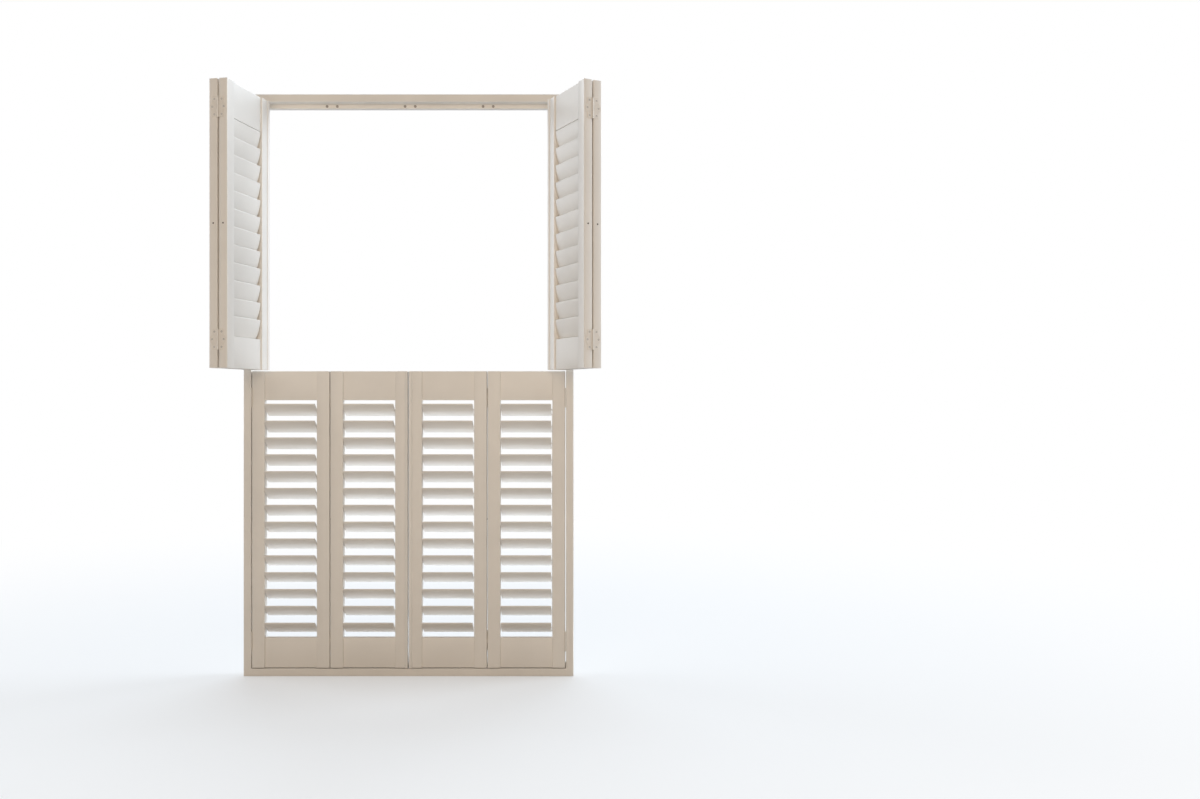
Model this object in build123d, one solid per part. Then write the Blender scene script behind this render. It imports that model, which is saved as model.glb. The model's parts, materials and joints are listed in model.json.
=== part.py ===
"""Tier-on-tier louvred shutters for one window: a frame with four hinged pairs of panels."""

import os
from dataclasses import dataclass
from math import cos, radians, sin

from build123d import *

# Millimetres. X runs along the window, Y runs from the room to the glass, Z is up.
# The origin is under the middle of the bottom frame, halfway through the frame's depth.

# Frame
frame_face = 25
frame_depth = 50
frame_edge_chamfer = 1.5
stop_height = 14
stop_clearance = 3
screw_hole_radius = 2.5
screws_per_jamb = 3
screw_pitch = 800
screw_inset_from_back = 10

# Gaps round the closed panels
hinge_gap = 3
meeting_gap = 5
tier_gap = 3

# Panels
panel_width = 256
panel_thickness = 27
stile_width = 42
stile_chamfer = 2
rail_setback = 5
lower_bottom_rail = 99
lower_top_rail = 96
upper_bottom_rail = 99
upper_top_rail = 111
mould_half_width = 12.5
mould_height = 4

# Louvres
louvre_pitch = 55.5
louvre_to_rail = 32
louvre_width = 63.5
louvre_thickness = 9.5
louvre_edge_thickness = 4.5
louvre_nose_length = 2
blade_flats = 3
lower_louvre_count = 14
upper_louvre_count = 12
lower_tilt_angle = 38
closed_tilt_angle = 76
free_end_gap = 2
linked_end_gap = 4
pivot_radius = 2
pivot_depth = 7
crank_radius = 1.2
crank_throw = 25
pin_sides = 6
pin_clearance = 0.05
hole_end_clearance = 0.5

# Tilt strip
strip_thickness = 1.5
strip_width = 4
strip_end_margin = 2.5
strip_end_clearance = 1

# Hinges
hinge_height = 65
hinge_leaf_depth = 24
hinge_leaf_thickness = 1.2
hinge_inset = 55
barrel_radius = 2.5
barrel_clearance = 0.25

# Magnets and buffers
magnet_radius = 4.5
magnet_thickness = 1.5
magnet_from_panel_edge = 17
buffer_radius = 2.5
buffer_thickness = 1
disc_sides = 8

# How far the panels stand open in the rest pose, in degrees
upper_left_swing_angle = 100
upper_right_swing_angle = 118
full_fold_angle = 180

# Worked out from the sizes above
room_face = -frame_depth / 2
glass_face = frame_depth / 2
panel_front = room_face
panel_back = panel_front + panel_thickness
panel_middle = (panel_front + panel_back) / 2
stop_front = panel_back + stop_clearance
lower_field = (lower_louvre_count - 1) * louvre_pitch + 2 * louvre_to_rail
upper_field = (upper_louvre_count - 1) * louvre_pitch + 2 * louvre_to_rail
lower_height = lower_bottom_rail + lower_field + lower_top_rail
upper_height = upper_bottom_rail + upper_field + upper_top_rail
opening_width = 4 * panel_width + 4 * hinge_gap + meeting_gap
opening_height = lower_height + upper_height + 3 * tier_gap
frame_width = opening_width + 2 * frame_face
frame_height = opening_height + 2 * frame_face
lower_base = frame_face + tier_gap
upper_base = lower_base + lower_height + tier_gap
jamb_inner = opening_width / 2
jamb_pivot = jamb_inner - hinge_gap / 2
fold_pivot = jamb_pivot - panel_width - hinge_gap
barrel_offset = barrel_radius + barrel_clearance
swing_line = panel_front - barrel_offset
fold_line = panel_back + barrel_offset
panel_left_edges = {
    "left_outer": -jamb_inner + hinge_gap,
    "left_inner": -fold_pivot + hinge_gap / 2,
    "right_inner": meeting_gap / 2,
    "right_outer": fold_pivot + hinge_gap / 2,
}
linked_panels = ("lower_left_outer", "lower_left_inner")


@dataclass
class Tier:
    """What the four panels of one tier have in common."""

    base: float
    height: float
    bottom_rail: float
    top_rail: float
    louvre_count: int
    tilt: float


tiers = {
    "lower": Tier(
        base=lower_base,
        height=lower_height,
        bottom_rail=lower_bottom_rail,
        top_rail=lower_top_rail,
        louvre_count=lower_louvre_count,
        tilt=lower_tilt_angle,
    ),
    "upper": Tier(
        base=upper_base,
        height=upper_height,
        bottom_rail=upper_bottom_rail,
        top_rail=upper_top_rail,
        louvre_count=upper_louvre_count,
        tilt=closed_tilt_angle,
    ),
}


def block(x0, x1, y0, y1, z0, z1):
    """A box between two corners."""
    centre = Pos((x0 + x1) / 2, (y0 + y1) / 2, (z0 + z1) / 2)
    return centre * Box(abs(x1 - x0), abs(y1 - y0), abs(z1 - z0))


def along_x(x, y, z, turn=0):
    """A plane whose normal is +X, with its first axis towards the glass and its second up."""
    return Plane(origin=(x, y, z), x_dir=(0, 1, 0), z_dir=(1, 0, 0)) * Rot(0, 0, turn)


def about_vertical(x, y, angle):
    """A turn about the vertical line through x, y."""
    return Pos(x, y, 0) * Rot(0, 0, angle) * Pos(-x, -y, 0)


def mitred_member(outer_a, outer_b, inner_b, inner_a):
    """A frame member: a mitred outline in the XZ plane, as deep as the frame."""
    outline = Polyline([(x, room_face, z) for x, z in (outer_a, outer_b, inner_b, inner_a)], close=True)
    member = extrude(make_face(outline), amount=frame_depth, dir=(0, 1, 0))
    long_edges = member.edges().group_by(Axis.Y)[0].sort_by(Edge.length)[-2:]
    return chamfer(long_edges, frame_edge_chamfer)


def jamb(side):
    """A side member, drilled for its fixing screws."""
    outer = side * frame_width / 2
    inner = side * jamb_inner
    member = mitred_member(
        (outer, 0), (outer, frame_height), (inner, frame_height - frame_face), (inner, frame_face)
    )
    for i in range(screws_per_jamb):
        z = frame_height / 2 + (i - (screws_per_jamb - 1) / 2) * screw_pitch
        hole = along_x(inner, glass_face - screw_inset_from_back, z)
        member -= extrude(hole * Circle(screw_hole_radius), amount=side * frame_face)
    return member


def cross_member(outer_z, inner_z):
    """The head or the bottom of the frame."""
    half = frame_width / 2
    return mitred_member((-half, outer_z), (half, outer_z), (jamb_inner, inner_z), (-jamb_inner, inner_z))


def stop_strip(z0, z1):
    """A light stop between the jambs, behind the panels."""
    return block(-jamb_inner, jamb_inner, stop_front, glass_face, z0, z1)


def magnets():
    """Disc magnets on both stop strips, one each side of every joint between panels."""
    discs = []
    for joint in (-fold_pivot, 0, fold_pivot):
        for x in (joint - magnet_from_panel_edge, joint + magnet_from_panel_edge):
            for z in (frame_face + stop_height / 2, frame_height - frame_face - stop_height / 2):
                face = Plane(origin=(x, stop_front, z), z_dir=(0, -1, 0))
                outline = face * RegularPolygon(magnet_radius, disc_sides)
                discs.append(extrude(outline, amount=magnet_thickness))
    return discs


def mould(edge, inwards):
    """Half of the rounded strip in front of the meeting stiles, as a section in XY."""
    radius = (mould_half_width**2 + mould_height**2) / (2 * mould_height)
    joint = edge - inwards * meeting_gap / 2
    disc = Pos(joint, panel_front - mould_height + radius) * Circle(radius)
    width = mould_half_width
    window = Pos(edge + inwards * width / 2, panel_front - mould_height / 2) * Rectangle(width, mould_height)
    return disc & window


def stile(x0, inwards, bottom, top, pin_heights, hole_depth):
    """A stile with chamfered inner edges and blind holes for the louvre pins."""
    inner = x0 + inwards * stile_width
    body = block(x0, inner, panel_front, panel_back, bottom, top)
    edges = body.edges().filter_by(Axis.Z).group_by(Axis.X)[-1 if inwards > 0 else 0]
    body = chamfer(edges, stile_chamfer)
    for pin_z in pin_heights:
        mouth = along_x(inner, panel_middle, pin_z)
        hole = RegularPolygon(pivot_radius + pin_clearance, pin_sides, major_radius=False)
        body -= extrude(mouth * hole, amount=-inwards * hole_depth)
    return body


def panel_pieces(tier, place):
    """Two stiles, two rails and, at the meeting stile, its moulding."""
    row = tiers[tier]
    z, top = row.base, row.base + row.height
    x0 = panel_left_edges[place]
    x1 = x0 + panel_width
    linked = f"{tier}_{place}" in linked_panels
    pin_heights = louvre_heights(tier) if linked else []
    depth = pivot_depth + hole_end_clearance
    pieces = [
        stile(x0, 1, z, top, pin_heights, depth),
        stile(x1, -1, z, top, pin_heights, depth),
    ]
    rail = (x0 + stile_width, x1 - stile_width, panel_front + rail_setback, panel_back - rail_setback)
    pieces.append(block(*rail, z, z + row.bottom_rail))
    pieces.append(block(*rail, top - row.top_rail, top))
    if place.endswith("inner"):
        section = mould(x1, -1) if place == "left_inner" else mould(x0, 1)
        pieces.append(extrude(Pos(0, 0, z) * section, amount=row.height))
    return pieces


def louvre_heights(tier):
    """The heights of the louvre axes, from the bottom up."""
    row = tiers[tier]
    first = row.base + row.bottom_rail + louvre_to_rail
    return [first + i * louvre_pitch for i in range(row.louvre_count)]


def louvre_section(flats=False):
    """A lens-shaped section, its width along the first axis.

    With flats, each curved side is three flats whose corners lie on the curve.
    """
    half = louvre_width / 2
    shoulder = half - louvre_nose_length
    edge = louvre_edge_thickness / 2
    crown = louvre_thickness / 2
    outline = []
    for side in (1, -1):
        start, end = (-side * shoulder, side * edge), (side * shoulder, side * edge)
        curve = ThreePointArc(start, (0, side * crown), end)
        if flats:
            corners = [curve @ (i / blade_flats) for i in range(blade_flats + 1)]
            outline += Polyline(corners).edges()
        else:
            outline.append(curve)
        outline.append(Line(end, (side * half, 0)))
        outline.append(Line((side * half, 0), (side * shoulder, -side * edge)))
    return make_face(outline)


def louvre(tier, place, z, drives=False):
    """A louvre with a pin in each stile and, on its linked end, a crank pin for the strip.

    The pins are six-sided to keep the face count low, and the driving louvre's crank is round.
    """
    tilt = tiers[tier].tilt
    x0 = panel_left_edges[place] + stile_width + free_end_gap
    x1 = panel_left_edges[place] + panel_width - stile_width - linked_end_gap
    start = along_x(x0, panel_middle, z, -tilt)
    end = along_x(x1, panel_middle, z, -tilt)
    pin = RegularPolygon(pivot_radius, pin_sides)
    crank = Circle(crank_radius) if drives else RegularPolygon(crank_radius, pin_sides)
    crank_length = linked_end_gap - strip_end_clearance
    blade = extrude(start * louvre_section(), amount=x1 - x0)
    blade += extrude(start * pin, amount=-(free_end_gap + pivot_depth))
    blade += extrude(end * pin, amount=linked_end_gap + pivot_depth)
    blade += extrude(end * Pos(crank_throw, 0) * crank, amount=crank_length)
    return blade


def fixed_louvres(tier, place):
    """The louvres and the strip of a panel whose blades share one node."""
    x0 = panel_left_edges[place] + stile_width
    length = panel_width - 2 * stile_width - linked_end_gap
    pieces = []
    for z in louvre_heights(tier):
        start = along_x(x0, panel_middle, z, -tiers[tier].tilt)
        pieces.append(extrude(start * louvre_section(flats=True), amount=length))
    pieces.append(plain_strip(tier, x0 + length))
    return pieces


def crank_place(tier):
    """How far behind and below a louvre's axis its crank pin lies."""
    tilt = radians(tiers[tier].tilt)
    return crank_throw * cos(tilt), crank_throw * sin(tilt)


def plain_strip(tier, x0):
    """A tilt strip with no holes, starting at x0."""
    heights = louvre_heights(tier)
    behind, drop = crank_place(tier)
    y = panel_middle + behind
    return block(
        x0,
        x0 + strip_thickness,
        y - strip_width / 2,
        y + strip_width / 2,
        heights[0] - drop - strip_end_margin,
        heights[-1] - drop + strip_end_margin,
    )


def tilt_strip(tier, place):
    """The strip between the louvre ends and the stile, with a hole for each crank pin."""
    behind, drop = crank_place(tier)
    louvre_end = panel_left_edges[place] + panel_width - stile_width - linked_end_gap
    x0 = louvre_end + (linked_end_gap - strip_thickness) / 2
    strip = plain_strip(tier, x0)
    hole = RegularPolygon(crank_radius + pin_clearance, pin_sides, major_radius=False)
    for z in louvre_heights(tier):
        strip -= extrude(along_x(x0, panel_middle + behind, z - drop) * hole, amount=strip_thickness)
    return strip


def hinge_leaf(wall, side, edge_y, inwards, z, barrel=False):
    """A leaf flat on an upright wall, and on one leaf of each hinge the barrel with its pin.

    wall is the wall's X, side the way it faces, edge_y the Y of its edge, and inwards the
    way the leaf runs from that edge.
    """
    face = wall + side * hinge_leaf_thickness
    leaf = block(wall, face, edge_y, edge_y + inwards * hinge_leaf_depth, z, z + hinge_height)
    if barrel:
        axis_x = wall + side * hinge_gap / 2
        axis_y = edge_y - inwards * barrel_offset
        leaf += block(wall, face, axis_y, edge_y, z, z + hinge_height)
        leaf += Pos(axis_x, axis_y, z + hinge_height / 2) * Cylinder(barrel_radius, hinge_height)
    return leaf


def hinge_bases(tier):
    """The heights where the two hinges of a joint start."""
    row = tiers[tier]
    return (row.base + hinge_inset, row.base + row.height - hinge_inset - hinge_height)


def buffer_stud(wall, side, tier):
    """A round buffer on a stile edge, halfway up, that keeps two panels apart."""
    middle = tiers[tier].base + tiers[tier].height / 2
    face = Plane(origin=(wall, panel_middle, middle), x_dir=(0, 1, 0), z_dir=(side, 0, 0))
    return extrude(face * RegularPolygon(buffer_radius, disc_sides), amount=buffer_thickness)


def frame_leaves():
    """The hinge leaves on the jambs."""
    leaves = []
    for tier in tiers:
        for z in hinge_bases(tier):
            leaves.append(hinge_leaf(-jamb_inner, 1, panel_front, 1, z, barrel=True))
            leaves.append(hinge_leaf(jamb_inner, -1, panel_front, 1, z, barrel=True))
    return leaves


def panel_hardware(tier, place):
    """The hinge leaves and the buffer on one panel's edges."""
    x0 = panel_left_edges[place]
    x1 = x0 + panel_width
    jamb_edge, jamb_side = (x0, -1) if place == "left_outer" else (x1, 1)
    fold_edge, fold_side = (x0, -1) if place in ("left_inner", "right_outer") else (x1, 1)
    outer = place.endswith("outer")
    pieces = []
    for z in hinge_bases(tier):
        if outer:
            pieces.append(hinge_leaf(jamb_edge, jamb_side, panel_front, 1, z))
        pieces.append(hinge_leaf(fold_edge, fold_side, panel_back, -1, z, barrel=outer))
    pieces.append(buffer_stud(fold_edge, fold_side, tier))
    return pieces


def rest_place(tier, place):
    """Where a panel stands in the rest pose, as a move from its closed place."""
    if tier == "lower":
        return Location()
    if place.startswith("left"):
        swing = about_vertical(-jamb_pivot, swing_line, -upper_left_swing_angle)
        fold = about_vertical(-fold_pivot, fold_line, full_fold_angle)
    else:
        swing = about_vertical(jamb_pivot, swing_line, upper_right_swing_angle)
        fold = about_vertical(fold_pivot, fold_line, -full_fold_angle)
    return swing if place.endswith("outer") else swing * fold


def save(name, *solids, place=Location()):
    """Write one sub-part, moved to its place in the rest pose."""
    moved = [place * solid for solid in solids]
    export_step(moved[0] if len(moved) == 1 else Compound(children=moved), f"parts/{name}.step")


def save_panel(tier, place):
    """Write the nodes of one panel."""
    name = f"{tier}_{place}"
    spot = rest_place(tier, place)
    save(f"{name}_panel", *panel_pieces(tier, place), place=spot)
    save(f"{name}_hinge_leaves", *panel_hardware(tier, place), place=spot)
    if name in linked_panels:
        heights = louvre_heights(tier)
        middle = len(heights) // 2
        for i, z in enumerate(heights):
            save(f"{name}_louvre_{i + 1:02d}", louvre(tier, place, z, drives=i == middle))
        save(f"{name}_tilt_strip", tilt_strip(tier, place))
    else:
        save(f"{name}_louvres", *fixed_louvres(tier, place), place=spot)


os.makedirs("parts", exist_ok=True)
save("left_jamb", jamb(-1))
save("right_jamb", jamb(1))
save("bottom_frame", cross_member(0, frame_face))
save("head_frame", cross_member(frame_height, frame_height - frame_face))
save(
    "stop_strips",
    stop_strip(frame_face, frame_face + stop_height),
    stop_strip(frame_height - frame_face - stop_height, frame_height - frame_face),
)
save("magnets", *magnets())
save("frame_hinge_leaves", *frame_leaves())
for tier in tiers:
    for place in panel_left_edges:
        save_panel(tier, place)
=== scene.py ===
# %% [markdown]
# # Tier-on-tier louvred shutters
# This lesson dresses a set of shutters: a mitred timber frame with four hinged pairs of
# panels, the lower tier closed and the upper tier folded open into the room. The solids come
# from the CAD model and hold every size and joint. What this script adds is what the eye
# wants: rounded edges, lens-shaped louvres, knuckled hinges with their screws, and paint.

import json
from math import asin, cos, pi, radians, sin

import bmesh
import bpy
from mathutils import Matrix, Vector


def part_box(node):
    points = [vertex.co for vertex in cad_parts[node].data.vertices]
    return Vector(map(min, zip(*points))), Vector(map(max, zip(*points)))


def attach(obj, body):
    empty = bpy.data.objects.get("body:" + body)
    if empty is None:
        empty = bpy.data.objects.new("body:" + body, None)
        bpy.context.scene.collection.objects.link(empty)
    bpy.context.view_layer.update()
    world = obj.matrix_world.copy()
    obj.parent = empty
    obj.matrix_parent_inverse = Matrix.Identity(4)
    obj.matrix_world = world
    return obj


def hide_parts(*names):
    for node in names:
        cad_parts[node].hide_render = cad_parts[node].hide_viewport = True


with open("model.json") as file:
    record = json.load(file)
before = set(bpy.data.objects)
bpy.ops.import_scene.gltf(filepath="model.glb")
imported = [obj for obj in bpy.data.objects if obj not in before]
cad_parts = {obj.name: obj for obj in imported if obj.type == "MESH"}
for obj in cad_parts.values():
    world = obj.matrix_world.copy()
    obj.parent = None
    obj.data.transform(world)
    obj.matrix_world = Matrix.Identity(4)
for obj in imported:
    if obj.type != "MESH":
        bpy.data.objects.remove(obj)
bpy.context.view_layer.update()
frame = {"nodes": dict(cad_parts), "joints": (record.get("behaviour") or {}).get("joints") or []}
joints = {joint["name"]: joint for joint in frame["joints"]}

# %% [markdown]
# ## Sizes
# Almost every place is read from the frame: a panel's edges from its node's box, and its
# open angle from its hinge. Only the sections that the boxes can't tell are written here,
# in metres, as a joiner would list them on a cutting sheet.

# %% Sizes of the timber and of the pins
STILE_WIDTH = 0.042
RAIL_SETBACK = 0.005
RAIL_HEIGHTS = {"lower": (0.099, 0.096), "upper": (0.099, 0.111)}
LOUVRE_WIDTH = 0.0635
LOUVRE_THICKNESS = 0.0095
LOUVRE_EDGE = 0.0045
LOUVRE_NOSE = 0.0024
FREE_END_GAP = 0.002
LINKED_END_GAP = 0.004
PIN_DEPTH = 0.007
PIN_RADIUS = 0.002
CRANK_RADIUS = 0.0012
CRANK_THROW = 0.025
CRANK_REACH = 0.003
print(f"louvres {LOUVRE_WIDTH * 1000:.1f} mm wide, stiles {STILE_WIDTH * 1000:.0f} mm wide")

# %% Places of the panels and pitch of the louvres
LOUVRE_COUNTS = {"lower": 14, "upper": 12}
PLACES = ("left_outer", "left_inner", "right_inner", "right_outer")
PANELS = [(tier, place, f"{tier}_{place}") for tier in LOUVRE_COUNTS for place in PLACES]
LINKED_PANELS = ("lower_left_outer", "lower_left_inner")

outer_low, outer_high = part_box("lower_left_outer_panel")
PANEL_FRONT, PANEL_BACK = outer_low.y, outer_high.y
PANEL_MIDDLE = (PANEL_FRONT + PANEL_BACK) / 2


def louvre_axis_height(name):
    """The height of a louvre's pivot, which is the middle of its node."""
    low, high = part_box(name)
    return (low.z + high.z) / 2


first_louvre = louvre_axis_height("lower_left_outer_louvre_01")
last_louvre = louvre_axis_height(f"lower_left_outer_louvre_{LOUVRE_COUNTS['lower']:02d}")
LOUVRE_PITCH = (last_louvre - first_louvre) / (LOUVRE_COUNTS["lower"] - 1)
tilt_low, tilt_high = joints["lower_left_outer_tilt"]["range_deg"]
closed_tilt = (tilt_high - tilt_low) / 2
TILTS = {"lower": closed_tilt + tilt_low, "upper": closed_tilt}
print(f"louvre pitch {LOUVRE_PITCH * 1000:.1f} mm, tilts:", TILTS)

# %% [markdown]
# ## Where the open panels stand
# A folded panel is easiest to build where it hangs when it is shut, square to the frame,
# and to turn afterwards. The model's hinges give both turns: each hinge's range starts at
# the shut place, so the turn to the rest pose is that limit with its sign changed.

# %% The turn from shut to rest
def open_angle(name):
    """The degrees from a hinge's shut limit to the rest pose."""
    return -joints[name]["range_deg"][0]


def opened(name):
    """The turn of one hinge from its shut limit to the rest pose."""
    pivot = Matrix.Translation(Vector(joints[name]["pos_m"]))
    turn = Matrix.Rotation(radians(open_angle(name)), 4, Vector(joints[name]["axis"]))
    return pivot @ turn @ pivot.inverted()


def shut_to_rest(tier, place):
    """The move that takes a shut panel to where it stands at rest."""
    side, which = place.split("_")
    swing = opened(f"{tier}_{side}_swing")
    return swing if which == "outer" else opened(f"{tier}_{side}_fold") @ swing


def shut_box(tier, place):
    """The corners of a shut panel, without its bead."""
    across_low, across_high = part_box(f"lower_{place}_panel")
    up_low, up_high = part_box(f"{tier}_{place}_panel")
    return Vector((across_low.x, PANEL_FRONT, up_low.z)), Vector((across_high.x, PANEL_BACK, up_high.z))


for side in ("left", "right"):
    print(f"upper {side} pair open by", round(open_angle(f"upper_{side}_swing")), "degrees")

# %% [markdown]
# ## Paint
# The timber is primed and sprayed in a warm off-white satin. Sprayed paint isn't a flat
# colour: it drifts a little in tone over a hand's width, the fine grain lifts it along the
# length of the wood, and the mist leaves a faint orange peel. An image would need every
# length unwrapped, so one function makes the three from noise on Object coordinates. The
# noise is stretched along the grain, and it stays with its piece when a panel swings.

# %% Helpers for materials
def new_material(name):
    """An empty node material and its Principled shader."""
    material = bpy.data.materials.new(name)
    material.use_nodes = True
    return material, material.node_tree.nodes["Principled BSDF"]


def shader_node(owner, kind, inputs=None, **settings):
    """Add a node, set its settings, and fill or link its inputs."""
    node = owner.node_tree.nodes.new(kind)
    for key, value in settings.items():
        setattr(node, key, value)
    for key, value in (inputs or {}).items():
        if isinstance(value, bpy.types.NodeSocket):
            owner.node_tree.links.new(value, node.inputs[key])
        else:
            node.inputs[key].default_value = value
    return node


print("materials at the start:", len(bpy.data.materials))

# %% Blends, noise and bumps
RAMP_ENDS = (0.3, 0.7)


def blend_colour(material, factor, dark, light):
    """A colour between two, by a socket that runs from 0 to 1."""
    ramp = shader_node(material, "ShaderNodeValToRGB", {"Fac": factor})
    for element, position, colour in zip(ramp.color_ramp.elements, RAMP_ENDS, (dark, light)):
        element.position = position
        element.color = (*colour, 1)
    return ramp.outputs["Color"]


def blend_value(material, factor, low, high):
    """A number between two, by a socket that runs from 0 to 1."""
    node = shader_node(material, "ShaderNodeMapRange", {"Value": factor, "To Min": low, "To Max": high})
    return node.outputs["Result"]


def noise(material, where, scale, detail, roughness=0.5):
    """Soft noise over a vector socket."""
    inputs = {"Vector": where, "Scale": scale, "Detail": detail, "Roughness": roughness}
    return shader_node(material, "ShaderNodeTexNoise", inputs).outputs["Fac"]


def bump(material, height, strength, distance, over=None):
    """The normal of a bumped surface, on top of another normal where one is given."""
    inputs = {"Height": height, "Strength": strength, "Distance": distance}
    if over is not None:
        inputs["Normal"] = over
    return shader_node(material, "ShaderNodeBump", inputs).outputs["Normal"]


print("colours blend over noise from", *RAMP_ENDS)

# %% Satin paint, with the grain upright or level
PAINT_COLOUR = (0.84, 0.798, 0.745)
TONE_DARK, TONE_LIGHT = 0.965, 1.02
TONE_NOISE = {"scale": 7.0, "detail": 3.0}
GRAIN_NOISE = {"scale": 60.0, "detail": 5.0, "roughness": 0.6}
PEEL_NOISE = {"scale": 420.0, "detail": 2.0}
GRAIN_BUMP = {"strength": 0.22, "distance": 0.0004}
PEEL_BUMP = {"strength": 0.12, "distance": 0.0002}
SMOOTHER, ROUGHER = 0.05, 0.07
PAINT_SPECULAR = 0.45
UPRIGHT_GRAIN = (6.0, 6.0, 0.5)
LEVEL_GRAIN = (0.5, 0.5, 6.0)


def satin_paint(name, grain, roughness=0.36):
    """Sprayed satin paint on timber, with its grain along the axes whose scale is small."""
    material, shader = new_material(name)
    links = material.node_tree.links
    where = shader_node(material, "ShaderNodeTexCoord").outputs["Object"]
    along = shader_node(material, "ShaderNodeMapping", {"Vector": where, "Scale": grain}).outputs["Vector"]
    dark = [channel * TONE_DARK for channel in PAINT_COLOUR]
    light = [channel * TONE_LIGHT for channel in PAINT_COLOUR]
    tone = blend_colour(material, noise(material, where, **TONE_NOISE), dark, light)
    links.new(tone, shader.inputs["Base Color"])
    lines = noise(material, along, **GRAIN_NOISE)
    rough = blend_value(material, lines, roughness - SMOOTHER, roughness + ROUGHER)
    links.new(rough, shader.inputs["Roughness"])
    wood = bump(material, lines, **GRAIN_BUMP)
    skin = bump(material, noise(material, where, **PEEL_NOISE), **PEEL_BUMP, over=wood)
    links.new(skin, shader.inputs["Normal"])
    shader.inputs["Specular IOR Level"].default_value = PAINT_SPECULAR
    return material


upright_paint = satin_paint("upright_paint", UPRIGHT_GRAIN)
level_paint = satin_paint("level_paint", LEVEL_GRAIN)
louvre_paint = satin_paint("louvre_paint", LEVEL_GRAIN, roughness=0.33)
print("paints:", upright_paint.name, level_paint.name, louvre_paint.name)

# %% [markdown]
# ## Metal and rubber
# The hinges are steel, enamelled to match the timber, with bare zinc screws that the light
# of the room turns a little darker. The magnets are nickel discs, the tilt strips thin
# aluminium, and the buffers small dark rubber studs that stop two panels from knocking.
# All five drift in tone and gloss with one fine noise, so one function makes them.

# %% Hardware finishes
FINISH_NOISE = {"scale": 300.0, "detail": 4.0}
FINISH_BUMP = {"strength": 0.1, "distance": 0.0001}


def hard_finish(name, dark, light, rough_low, rough_high, metallic=0.0):
    """A metal, enamel or rubber whose tone and gloss drift with fine noise."""
    material, shader = new_material(name)
    links = material.node_tree.links
    where = shader_node(material, "ShaderNodeTexCoord").outputs["Object"]
    fine = noise(material, where, **FINISH_NOISE)
    links.new(blend_colour(material, fine, dark, light), shader.inputs["Base Color"])
    links.new(blend_value(material, fine, rough_low, rough_high), shader.inputs["Roughness"])
    links.new(bump(material, fine, **FINISH_BUMP), shader.inputs["Normal"])
    shader.inputs["Metallic"].default_value = metallic
    return material


hinge_enamel = hard_finish("hinge_enamel", (0.76, 0.712, 0.652), (0.81, 0.762, 0.702), 0.28, 0.4)
screw_zinc = hard_finish("screw_zinc", (0.36, 0.33, 0.3), (0.48, 0.45, 0.41), 0.3, 0.45, metallic=0.85)
magnet_nickel = hard_finish("magnet_nickel", (0.2, 0.17, 0.15), (0.3, 0.27, 0.24), 0.3, 0.5, metallic=0.7)
strip_metal = hard_finish("strip_metal", (0.66, 0.63, 0.59), (0.74, 0.71, 0.67), 0.35, 0.5, metallic=0.3)
buffer_rubber = hard_finish("buffer_rubber", (0.03, 0.022, 0.017), (0.05, 0.036, 0.028), 0.6, 0.8)
print("materials so far:", len(bpy.data.materials))

# %% [markdown]
# ## Helpers for meshes
# Every piece ends as a plain mesh whose object sits at the origin. A piece that is built
# shut and stands open gets its turn in the mesh, and the object itself is never moved.

# %% Pieces from meshes
SHARP_DEGREES = 32


def as_piece(name, mesh, material=None, place=None):
    """An object at the origin with this mesh, moved inside its mesh to its place."""
    if place is not None:
        mesh.transform(place)
    mesh.shade_smooth()
    mesh.set_sharp_from_angle(angle=radians(SHARP_DEGREES))
    if material is not None:
        mesh.materials.clear()
        mesh.materials.append(material)
    piece = bpy.data.objects.new(name, mesh)
    bpy.context.scene.collection.objects.link(piece)
    return piece


def settled(name, shape):
    """A plain mesh from one that is being edited, which is freed."""
    mesh = bpy.data.meshes.new(name)
    shape.to_mesh(mesh)
    shape.free()
    return mesh


def joined(name, parts):
    """One mesh from several, each with the move that places it and its own materials."""
    whole = bmesh.new()
    materials = []
    for mesh, place in parts:
        slots = []
        for material in mesh.materials:
            if material not in materials:
                materials.append(material)
            slots.append(materials.index(material))
        start = len(whole.faces)
        whole.from_mesh(mesh)
        whole.faces.ensure_lookup_table()
        added = whole.faces[start:]
        for face in added:
            face.material_index = slots[face.material_index] if slots else 0
        corners = {corner for face in added for corner in face.verts}
        bmesh.ops.transform(whole, matrix=place, verts=list(corners))
    result = settled(name, whole)
    for material in materials:
        result.materials.append(material)
    return result


print("edges look sharp above", SHARP_DEGREES, "degrees")

# %% [markdown]
# ## Growing pieces with Geometry Nodes
# Louvres, knuckles, screws and magnets are each one shape that repeats by a rule, so a node
# tree makes them.

# %% A builder for node trees
SOCKETS = {"size": "NodeSocketFloat", "count": "NodeSocketInt", "point": "NodeSocketVector"}


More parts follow.
